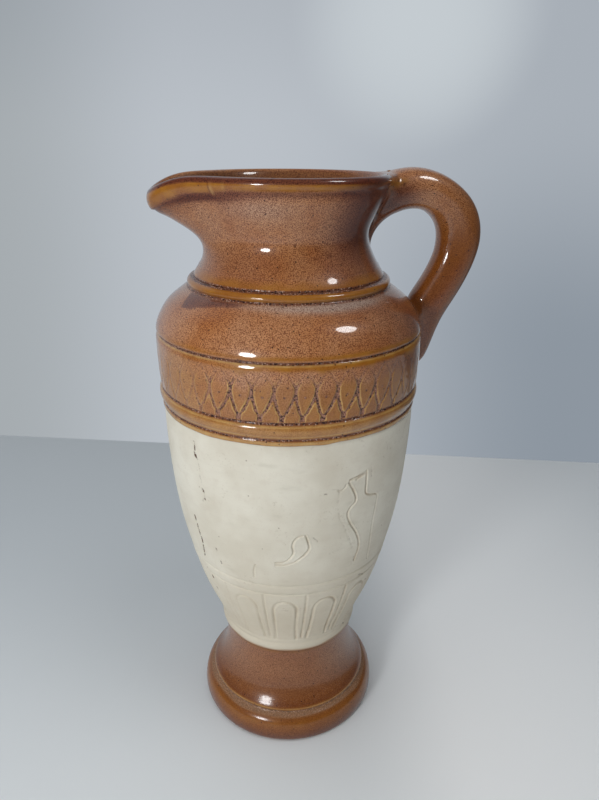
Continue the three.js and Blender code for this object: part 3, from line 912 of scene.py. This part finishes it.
def loop_places(ring, angle, rings, along):
    """Corners of the loop: a squarish ring with a soft flute along both flanks."""
    outer, inner, width = rings[ring, 0:2], rings[ring, 2:4], rings[ring, 4]
    middle, half = (outer + inner) / 2, (outer - inner) / 2
    cosine, sine = np.cos(angle), np.sin(angle)
    body = smoothstep(4, 22, along[ring]) * smoothstep(along[-1] - 25, along[-1] - 50, along[ring])
    power = 2.2
    swell = (np.abs(cosine) ** power + np.abs(sine) ** power) ** (-1 / power)
    swell -= 0.07 * body * (bell(angle, 1.85, 0.34) + bell(angle, -1.85, 0.34))
    swell += 0.012 * lumps(along[ring], angle * 6, 14, 51)
    plane = middle + half * (cosine * swell)[:, None]
    across = width / 2 * sine * swell
    return np.stack([plane[:, 0], across, plane[:, 1]], 1)


def root_places(share, angle, rings, along):
    """Corners of the root, which leaves the neck's wall and the lip's crest and turns into the loop."""
    turned_by = np.degrees(np.abs(angle))
    edge_turn, edge_height, edge_side = np.transpose(ROOT_EDGE)
    height = np.interp(turned_by, edge_turn, edge_height)
    side = np.interp(turned_by, edge_turn, edge_side) * np.sign(angle)
    wall = np.concatenate([neck_line, np.array(LIP[:8])])
    radius = radius_at(wall, height) - 0.05
    lean = radius_at(wall, height + 0.8) - radius_at(wall, height - 0.8)
    lean = np.where(height < 300, lean / 1.6, 0)
    on_crest = smoothstep(0.42, 0.85, np.cos(angle))
    radius -= 1.0 * on_crest
    height = height + 0.05 * on_crest
    turn = side / radius
    up = np.array([0, 0, 1.0])
    outward = np.stack([np.cos(turn), np.sin(turn), 0 * turn], 1)
    round_wall = np.stack([-np.sin(turn), np.cos(turn), 0 * turn], 1)
    up_wall = unit(outward * lean[:, None] + up)
    start = outward * radius[:, None] + height[:, None] * up
    first = np.zeros(len(angle), int)
    end = loop_places(first, angle, rings, along)
    back = unit(end - loop_places(first + 3, angle, rings, along))
    along_wall = unit(round_wall * -side[:, None] + up_wall * (ROOT_MIDDLE_Z - height)[:, None])
    out = on_crest[:, None]
    leave = unit(along_wall * (1 - out) + (outward + 0.2 * up) * out)
    span = np.linalg.norm(end - start, axis=1)[:, None]
    t = np.clip(share, 0, 1)[:, None]
    curve = (
        start * (1 - t) ** 3
        + 3 * (start + leave * span * 0.34) * t * (1 - t) ** 2
        + 3 * (end + back * span * 0.38) * t**2 * (1 - t)
        + end * t**3
    )
    buried = share < 0
    sink = -outward * (1.2 - 0.4 * out) - 0.9 * up * out
    return curve + sink * buried[:, None]


def wall_distance(radius, height, wall):
    """Distance outside the turned wall, negative inside it."""
    best = np.full(len(radius), FAR)
    side = np.ones(len(radius))
    for (r0, z0), (r1, z1) in zip(wall, wall[1:]):
        dr, dz = r1 - r0, z1 - z0
        t = np.clip(((radius - r0) * dr + (height - z0) * dz) / max(dr * dr + dz * dz, 1e-9), 0, 1)
        gap = np.hypot(radius - r0 - t * dr, height - z0 - t * dz)
        closer = gap < best
        best = np.where(closer, gap, best)
        side = np.where(closer, np.sign((radius - r0) * dz - (height - z0) * dr), side)
    return best * side


def make_handle():
    """A ring of corners is extruded along the handle's course, and every ring is then set in its place."""
    deselect_all()
    bpy.ops.mesh.primitive_circle_add(vertices=HANDLE_CORNERS, radius=10 * MM, fill_type="NGON")
    handle = bpy.context.object
    handle.name = handle.data.name = "handle_glazed"
    bpy.ops.object.mode_set(mode="EDIT")
    bpy.ops.mesh.select_all(action="SELECT")
    rings, along = handle_rings()
    for _ in range(ROOT_RINGS + HANDLE_RINGS - 1):
        bpy.ops.mesh.extrude_region_move(TRANSFORM_OT_translate={"value": (0, 0, MM)})
    bpy.ops.mesh.select_all(action="DESELECT")
    bpy.ops.object.mode_set(mode="OBJECT")

    start = places_of(handle)
    index = np.round(start[:, 2]).astype(int)
    angle = np.arctan2(start[:, 1], start[:, 0])
    cosine, sine = np.cos(angle), np.sin(angle)
    ring = np.clip(index - ROOT_RINGS, 0, HANDLE_RINGS - 1)
    share = (index - 1) / (ROOT_RINGS - 1)
    places = loop_places(ring, angle, rings, along)
    in_root = index < ROOT_RINGS
    places[in_root] = root_places(share, angle, rings, along)[in_root]

    # The loop's lower end spreads a little where it lies on the shoulder
    wall = np.concatenate([band_line[band_line[:, 1] < 253.0], np.array(COLLAR)])
    off = wall_distance(np.hypot(places[:, 0], places[:, 1]), places[:, 2], wall)
    below_collar = places[:, 2] < 255
    reach = 2.0
    t = np.clip(1 - off / reach, 0, 1)
    spread = reach * (1 - np.sqrt(np.clip(1 - t * t, 0, 1))) * 0.85 * (below_collar & ~in_root)
    half = (rings[ring, 0:2] - rings[ring, 2:4]) / 2
    half_length = np.hypot(half[:, 0], half[:, 1])
    push_plane, push_across = cosine / half_length, sine / (rings[ring, 4] / 2)
    size = np.hypot(push_plane, push_across)
    outward = half / half_length[:, None]
    move = np.stack([outward[:, 0] * push_plane, push_across, outward[:, 1] * push_plane], 1)
    move_to(handle, places + move * (spread / size)[:, None])

    run = np.where(in_root, -12 * (1 - np.clip(share, 0, 1)), along[ring])
    turned_by = np.degrees(np.abs(angle))
    near_root = smoothstep(16, -8, run)
    tail = smoothstep(40, 90, run)
    band = bell(turned_by, 63 - 3 * smoothstep(-12, 2, run), 9 + 3 * smoothstep(-2, -12, run))
    mauve = 0.05 + 0.2 * lumps(run, angle * 10, 24, 53) + 0.35 * smoothstep(30, 0, run)
    mauve += 0.5 * bell(angle, -1.5, 0.5) * tail + 0.2 * smoothstep(along[-1] - 40, along[-1], run)
    # Painted shade: the root's flanks and underside are darkened here.
    smudge = 0.9 * near_root * bell(turned_by, 102, 28) * smoothstep(18, -2, run)
    seat = bell(off, 0.3, 0.8) * below_collar
    paint(
        handle,
        amber=band * smoothstep(5, 0, run) + 0.3 * tail * bell(angle, 0.6, 1.0),
        pits=0.8 * seat * (0.6 + 0.4 * lumps(run, angle * 9, 3, 52)),
        # Painted shade: more mauve on the root's sides and underside.
        mauve=mauve + near_root * smoothstep(60, 85, turned_by),
        smudge=smudge + 0.9 * bell(run, 1.0, 1.0) * bell(turned_by, 67, 4),
        brown=0.1 + 0.9 * smoothstep(8, 55, run) * (1 - 0.45 * bell(angle, math.pi, 1.0)),
    )
    select_only(handle)
    bpy.ops.object.mode_set(mode="EDIT")
    bpy.ops.mesh.select_all(action="SELECT")
    bpy.ops.mesh.normals_make_consistent(inside=False)
    bpy.ops.mesh.select_all(action="DESELECT")
    bpy.ops.object.mode_set(mode="OBJECT")
    smooth(handle, 70)
    return handle


# Materials
def tone(red, green, blue):
    """A colour from its 0 to 255 values on screen."""
    def linear(value):
        value /= 255
        return value / 12.92 if value <= 0.04045 else ((value + 0.055) / 1.055) ** 2.4
    return (linear(red), linear(green), linear(blue), 1)


class Tree:
    """A node tree under construction."""

    def __init__(self, tree):
        self.tree = tree

    def give(self, node, inputs):
        """Sets inputs of a node to values, or links them to the sockets of other nodes."""
        for key, value in inputs.items():
            if isinstance(value, bpy.types.NodeSocket):
                self.tree.links.new(value, node.inputs[key])
            else:
                node.inputs[key].default_value = value

    def node(self, kind, inputs=(), **settings):
        node = self.tree.nodes.new("ShaderNode" + kind)
        for name, value in settings.items():
            setattr(node, name, value)
        self.give(node, dict(inputs))
        return node

    def between(self, value, low, high, to_low=0.0, to_high=1.0):
        inputs = {"Value": value, "From Min": low, "From Max": high, "To Min": to_low, "To Max": to_high}
        return self.node("MapRange", inputs, interpolation_type="SMOOTHSTEP").outputs["Result"]

    def mix(self, share, first, second):
        """A mix of two colours: sockets, linear colours of four numbers, or tones of three."""
        first, second = (
            tone(*colour) if isinstance(colour, tuple) and len(colour) == 3 else colour
            for colour in (first, second)
        )
        return self.node("Mix", {0: share, 6: first, 7: second}, data_type="RGBA").outputs[2]


class Finish(Tree):
    """A material under construction, whose colour is covered layer by layer."""

    def __init__(self, name):
        self.material = bpy.data.materials.new(name)
        self.material.use_nodes = True
        super().__init__(self.material.node_tree)
        self.tree.nodes.clear()
        self.shader = self.node("BsdfPrincipled")
        self.node("OutputMaterial", {"Surface": self.shader.outputs[0]})
        self.place = self.node("TexCoord").outputs["Object"]

    def noise(self, size_mm, detail=2.0, roughness=0.5, stretch=None):
        place = self.place
        if stretch is not None:
            place = self.node("Mapping", {"Scale": stretch, "Vector": place}).outputs["Vector"]
        inputs = {"Scale": 1 / (size_mm * MM), "Detail": detail, "Roughness": roughness, "Vector": place}
        return self.node("TexNoise", inputs).outputs["Fac"]

    def cells(self, size_mm, output="Distance"):
        return self.node("TexVoronoi", {"Scale": 1 / (size_mm * MM), "Vector": self.place}).outputs[output]

    def spots(self, size_mm, rim, core, rare, common):
        """Round spots in some of the cells, picked by each cell's own random colour."""
        pick = self.node("SeparateColor", {0: self.cells(size_mm, "Color")}).outputs[0]
        return self.times(self.between(self.cells(size_mm), rim, core), self.between(pick, rare, common))

    def math(self, kind, *values, clamp=False):
        return self.node("Math", enumerate(values), operation=kind, use_clamp=clamp).outputs[0]

    def times(self, first, second):
        return self.math("MULTIPLY", first, second)

    def painted(self, name, strength=None):
        """What is painted on the piece under that name, times a strength."""
        share = self.node("Attribute", attribute_name=name).outputs["Fac"]
        return share if strength is None else self.times(share, strength)

    def cover(self, share, colour):
        self.colour = self.mix(share, self.colour, colour)

    def bump(self, height, distance_mm, strength=1.0, before=None):
        inputs = {"Strength": strength, "Distance": distance_mm * MM, "Height": height}
        if before is not None:
            inputs["Normal"] = before
        return self.node("Bump", inputs).outputs["Normal"]


def glaze(name, gloss=0.045, coat=1.0):
    """Salt glaze: speckled tan, mauve where it is thick, amber where it is thin, dark pits in grooves. Its
    mauve, dark and pale layers also carry painted shade, sheen and highlight.
    """
    f = Finish(name)
    fine = f.noise(0.42, 1.0, 0.5)
    broad = f.noise(26, 2.5, 0.55)
    middling = f.noise(7, 2.0, 0.5)
    grain = f.between(fine, 0.38, 0.58)
    tan = f.mix(grain, (116, 66, 40), (192, 138, 96))
    orange = f.mix(grain, (118, 60, 22), (184, 118, 62))
    f.colour = f.mix(f.between(broad, 0.35, 0.7), tan, orange)
    f.cover(f.painted("brown"), f.mix(f.between(fine, 0.3, 0.75), (106, 56, 14), (140, 82, 32)))
    # Mauve also carries painted shade on the neck's right side, under the lip and on the handle's root.
    mauve = f.math("ADD", f.painted("mauve"), f.between(broad, 0.45, 0.75, -0.15, 0.2), clamp=True)
    f.cover(f.times(mauve, 0.8), f.mix(grain, (74, 28, 18), (136, 80, 60)))
    amber = f.mix(f.between(middling, 0.25, 0.75), (146, 88, 14), (164, 108, 28))
    amber = f.mix(f.between(fine, 0.6, 0.72, 0.0, 0.3), amber, (122, 68, 28))
    f.cover(f.painted("amber", f.between(middling, 0.2, 0.7, 0.8, 1.0)), amber)
    # Pale bloom, with a painted reflection on the foot's flare and a painted highlight under the lowest
    # shoulder groove.
    f.cover(f.painted("bloom", 0.75), f.mix(grain, (140, 112, 98), (184, 170, 158)))
    # Dark glaze, with painted shade under the lip and spout, on the neck's right side and on the handle
    # root's flanks.
    f.cover(f.painted("smudge", 0.9), f.mix(grain, (54, 14, 6), (100, 44, 24)))
    gold = (196, 156, 92)
    f.cover(f.painted("thin", f.between(middling, 0.25, 0.7, 0.45, 0.85)), gold)

    # The pressed strips of the lattice, from the distance to their edge
    lattice_share = f.painted("lattice")
    outside = f.math("MULTIPLY_ADD", f.painted("strip"), STRIP_RANGE, STRIP_LOW)
    outside = f.math("ADD", outside, f.between(f.noise(1.1, 1.0, 0.5), 0.25, 0.75, -0.16, 0.16))
    strip_share = f.times(f.between(outside, 0.14, -0.14), lattice_share)
    edge = f.times(f.between(outside, 0.0, 0.22), f.between(outside, 0.85, 0.35))
    edge = f.times(f.times(edge, lattice_share), f.between(middling, 0.3, 0.65, 0.25, 0.85))
    f.cover(edge, gold)
    f.cover(strip_share, f.mix(grain, (104, 60, 44), (166, 122, 100)))

    pits = f.painted("pits")
    pit_share = f.math("MAXIMUM", f.between(pits, 0.2, 0.8), f.times(strip_share, 0.9))
    pit = f.times(f.between(f.cells(1.2), 0.44, 0.30), pit_share)
    pale_dot = f.between(f.cells(0.85), 0.36, 0.24)
    floor_share = f.between(pits, 0.15, 0.75, 0.0, 0.9)
    f.cover(floor_share, f.mix(pale_dot, (112, 66, 48), (196, 166, 148)))
    f.cover(pit, (46, 20, 18))
    f.cover(f.times(f.spots(2.8, 0.17, 0.10, 0.45, 0.5), 0.85), (50, 20, 14))
    speck = f.times(f.between(f.cells(0.62), 0.30, 0.18), f.between(f.painted("matt"), 0.5, 0.2))
    f.cover(f.times(speck, 0.5), (84, 40, 22))
    f.cover(f.painted("inside", 0.9), f.mix(grain, (76, 34, 16), (136, 88, 50)))
    f.cover(f.painted("bare"), f.mix(grain, (150, 128, 100), (186, 168, 140)))

    dull = f.math("MAXIMUM", f.painted("matt"), f.times(strip_share, 0.6))
    dull = f.math("MAXIMUM", dull, f.times(floor_share, 0.6))
    hollow = f.math("ADD", pit, f.times(strip_share, 0.6))
    body_skin = f.bump(f.noise(2.4, 1.0, 0.5), 0.05, 0.35)
    coat_skin = f.bump(f.noise(3.2, 1.0, 0.4), 0.04, 0.25)
    f.give(f.shader, {
        "Base Color": f.colour,
        "Roughness": 0.35,
        "IOR": 1.5,
        "Specular IOR Level": 0.2,
        "Coat Weight": f.math("MULTIPLY_ADD", dull, -0.85 * coat, coat),
        "Coat Roughness": gloss,
        "Coat IOR": 1.5,
        "Normal": f.bump(hollow, -0.22, 0.8, body_skin),
        "Coat Normal": f.bump(hollow, -0.18, 0.6, coat_skin),
    })
    return f


def clay():
    """Bare cream clay, greyer and warmer towards the foot, with brown in the scratches and scars."""
    f = Finish("bare_clay")
    middling = f.noise(6, 3.0, 0.6)
    f.colour = f.mix(f.between(f.noise(30, 3.0, 0.6), 0.3, 0.7), (216, 209, 192), (230, 225, 210))
    stains = (
        (f.noise(9, 3.0, 0.6, (1.0, 1.0, 5.0)), 0.45, 0.75, 0.12, (208, 200, 186)),
        (middling, 0.5, 0.75, 0.25, (208, 196, 178)),
        (f.noise(0.8, 2.0, 0.6), 0.62, 0.75, 0.3, (192, 178, 158)),
        (f.noise(17, 2.0, 0.7, (1.0, 1.0, 2.2)), 0.6, 0.78, 0.28, (190, 184, 164)),
    )
    for noise, low, high, share, colour in stains:
        f.cover(f.between(noise, low, high, 0.0, share), colour)
    dirt = f.between(f.noise(1.8, 3.0, 0.7), 0.56, 0.7)
    dirt = f.times(dirt, f.between(f.noise(22, 2.0, 0.6), 0.5, 0.68))
    f.cover(f.times(dirt, 0.4), (160, 144, 116))
    f.cover(f.painted("low", 0.5), (198, 183, 158))
    f.cover(f.times(f.spots(7.0, 0.07, 0.03, 0.62, 0.66), 0.6), (120, 92, 62))
    f.cover(f.painted("stroke", f.between(middling, 0.3, 0.7, 0.1, 0.6)), (164, 134, 98))
    scar = f.painted("scar", f.between(f.noise(0.9, 2.0, 0.6), 0.3, 0.5))
    scar = f.times(scar, f.between(f.noise(2.6, 1.0, 0.5), 0.38, 0.52, 0.25, 1.0))
    f.cover(f.between(scar, 0.03, 0.5), (84, 50, 30))
    f.cover(f.painted("edge", 0.8), (150, 100, 48))
    f.cover(f.painted("inside", 0.9), (112, 62, 38))
    skin = f.bump(f.noise(0.9, 3.0, 0.6), 0.05, 0.5)
    skin = f.bump(f.noise(5.0, 2.0, 0.5, (1.0, 1.0, 4.0)), 0.08, 0.35, skin)
    f.give(f.shader, {"Base Color": f.colour, "Roughness": 0.6, "IOR": 1.45, "Normal": skin})
    return f


def dried_slip():
    f = Finish("dried_slip")
    colour = f.mix(f.between(f.noise(2.0, 3.0, 0.6), 0.35, 0.65), (120, 88, 62), (150, 116, 86))
    skin = f.bump(f.noise(0.7, 3.0, 0.6), 0.08, 0.7)
    f.give(f.shader, {"Base Color": colour, "Roughness": 0.85, "Normal": skin})
    return f


def finish_piece(piece, finish, node):
    piece.data.materials.clear()
    piece.data.materials.append(finish.material)
    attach(piece, "root")
    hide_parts(node)


def make_jug():
    shiny, bare = glaze("speckled_glaze"), clay()
    finish_piece(make_foot(), glaze("satin_glaze", 0.14, 0.75), "foot")
    finish_piece(make_belly(), bare, "belly")
    finish_piece(make_shoulder(), shiny, "shoulder")
    finish_piece(make_neck(), shiny, "neck")
    finish_piece(make_handle(), shiny, "handle")
    slip = dried_slip()
    for name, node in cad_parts.items():
        if name.endswith("_slip"):
            node.data.materials.clear()
            node.data.materials.append(slip.material)


make_jug()


# Floor, backdrop and light
def floor_with_painted_light():
    """Plain and pale, with painted light: paler towards the viewer, and a paler strip to the right of the
    jug, over its cast shadow.
    """
    f = Finish("floor_with_painted_light")
    place = f.node("SeparateXYZ", {0: f.place}).outputs
    # Painted light: the floor is paler towards the viewer.
    depth = f.between(place["Y"], 0.25, -0.20)
    colour = f.mix(depth, (199, 206, 211), (230, 234, 236))
    # Painted light: a paler strip to the right of the jug, over its cast shadow.
    beside = f.math("MULTIPLY_ADD", place["Y"], -0.176, place["X"])
    pale = f.times(f.between(beside, 0.03, 0.11), f.between(beside, 0.34, 0.10, 0.25, 0.95))
    f.give(f.shader, {"Base Color": f.mix(pale, colour, (248, 250, 251)), "Roughness": 0.9})
    return f.material


def flat_sheet(name, corners, material):
    deselect_all()
    bpy.ops.mesh.primitive_plane_add(size=1)
    sheet = bpy.context.object
    sheet.name = sheet.data.name = name
    sheet.data.vertices.foreach_set("co", np.array(corners, np.float32).ravel())
    sheet.data.update()
    sheet.data.materials.append(material)


def ground_point(x, y):
    """Where the camera's ray through a place in the frame meets the floor."""
    camera = bpy.context.scene.camera.matrix_world
    focal = LENS / SENSOR * PHOTO_HEIGHT
    ray = camera.to_3x3() @ Vector(((x - PHOTO_WIDTH / 2) / focal, -(y - PHOTO_HEIGHT / 2) / focal, -1))
    origin = camera.translation
    return origin + ray * (-origin.z / ray.z)


# Both ends of the floor's far edge in the photo, in pixels, and how far the floor reaches, in metres
FLOOR_EDGE = ((18, 436), (599, 463))
FLOOR_SIDE, FLOOR_DEPTH = 3, 6


def set_stage():
    """A pale floor that ends a little behind the jug, where the pale room begins."""
    left, right = (ground_point(*place) for place in FLOOR_EDGE)
    run = (right - left).normalized()
    near = Vector((run.y, -run.x, 0)) * FLOOR_DEPTH
    middle = (left + right) / 2
    far_left, far_right = middle - run * FLOOR_SIDE, middle + run * FLOOR_SIDE
    flat_sheet("floor", [far_left + near, far_right + near, far_left, far_right], floor_with_painted_light())


# Lamps: name, azimuth, elevation, distance, width, watts, shape, and the rays that don't see it
LAMPS = (
    ("left_lamp", -33, 14, 1.0, 0.22, 3.4, "DISK", None),
    ("right_lamp", 69, 52, 1.0, 0.25, 2.1, "DISK", "visible_diffuse"),
    ("right_soft_lamp", 50, 68, 1.05, 0.4, 1.5, "DISK", "visible_glossy"),
    ("left_panel", -40, 32, 1.15, 1.6, 3.9, "SQUARE", "visible_glossy"),
    ("top_panel", -10, 82, 1.2, 1.7, 5.2, "SQUARE", "visible_glossy"),
)
LAMP_AIM = Vector((0, 0, 0.2))


def lamp(name, azimuth, elevation, distance, width, watts, shape, unseen):
    """A soft lamp, placed by its azimuth from the front and its elevation above the jug's middle."""
    data = bpy.data.lights.new(name, "AREA")
    data.shape = shape
    data.size = width
    data.energy = watts
    light = bpy.data.objects.new(name, data)
    bpy.context.scene.collection.objects.link(light)
    turn = math.radians(azimuth - FRONT)
    lift = math.radians(elevation)
    way = Vector((math.cos(lift) * math.cos(turn), math.cos(lift) * math.sin(turn), math.sin(lift)))
    light.location = LAMP_AIM + way * distance
    light.rotation_euler = way.to_track_quat("Z", "Y").to_euler()
    if unseen:
        setattr(light, unseen, False)


# What the glaze mirrors: a dark room with a pale wall behind the jug
WALL_WAY = (-0.09, 0.99, 0.12)
ROOM_COLOUR = (0.085, 0.085, 0.085, 1)
WALL_COLOUR = (0.42, 0.46, 0.50, 1)
# What the camera sees behind the jug, with painted light: a glow behind the jug, paler towards it, darker
# upwards on the left, and a painted shadow low on the right where the jug's shadow falls on the wall
RIGHT_WAY = (0.9848, -0.1736, 0)
DOWN_WAY = (0, 0, -1)
GLOW_WAY = (0.40, 1.10, 0.175)
# Where the room's pale side lies for its soft light
PALE_WAY = (-0.5, 0.85, 0.15)


class Room(Tree):
    """The world: what the camera sees, what the glaze mirrors and what lights the rest, by direction."""

    def __init__(self):
        world = bpy.data.worlds.new("room")
        bpy.context.scene.world = world
        world.use_nodes = True
        super().__init__(world.node_tree)
        self.way = self.node("TexCoord").outputs["Generated"]

    def nearness(self, towards, low, high):
        """0 to 1 as a ray comes nearer to a direction, between two cosines."""
        inputs = {0: self.way, 1: Vector(towards).normalized()}
        turn = self.node("VectorMath", inputs, operation="DOT_PRODUCT")
        return self.between(turn.outputs["Value"], low, high)


def set_light():
    for row in LAMPS:
        lamp(*row)
    room = Room()
    lit = room.mix(room.nearness(PALE_WAY, 0.1, 0.8), ROOM_COLOUR, WALL_COLOUR)
    mirrored = room.mix(room.nearness(WALL_WAY, 0.3, 0.75), ROOM_COLOUR, WALL_COLOUR)
    mirrored = room.mix(room.nearness(RIGHT_WAY, 0.35, 0.75), mirrored, ROOM_COLOUR)
    # Painted light on the backdrop: the left wall is paler towards the jug and darker upwards, the right wall
    # is darker low down as painted shadow of the jug, and there is a glow behind the jug.
    from_left = room.nearness(RIGHT_WAY, -0.42, -0.14)
    left_low = room.mix(from_left, (166, 172, 176), (186, 192, 199))
    left_top = room.mix(from_left, (150, 157, 163), (174, 180, 187))
    left_wall = room.mix(room.nearness(DOWN_WAY, 0.02, -0.24), left_low, left_top)
    right_wall = room.mix(room.nearness(DOWN_WAY, -0.06, 0.28), (168, 175, 183), (141, 150, 160))
    seen = room.mix(room.nearness(RIGHT_WAY, -0.08, 0.40), left_wall, right_wall)
    seen = room.mix(room.nearness(GLOW_WAY, 0.984, 1.002), seen, (197, 204, 209))
    rays = room.node("LightPath").outputs
    colour = room.mix(rays["Is Glossy Ray"], lit, mirrored)
    colour = room.mix(rays["Is Camera Ray"], colour, seen)
    room.give(room.tree.nodes["Background"], {"Color": colour, "Strength": 1.0})


set_stage()
set_light()
bpy.context.scene.view_settings.view_transform = "Standard"
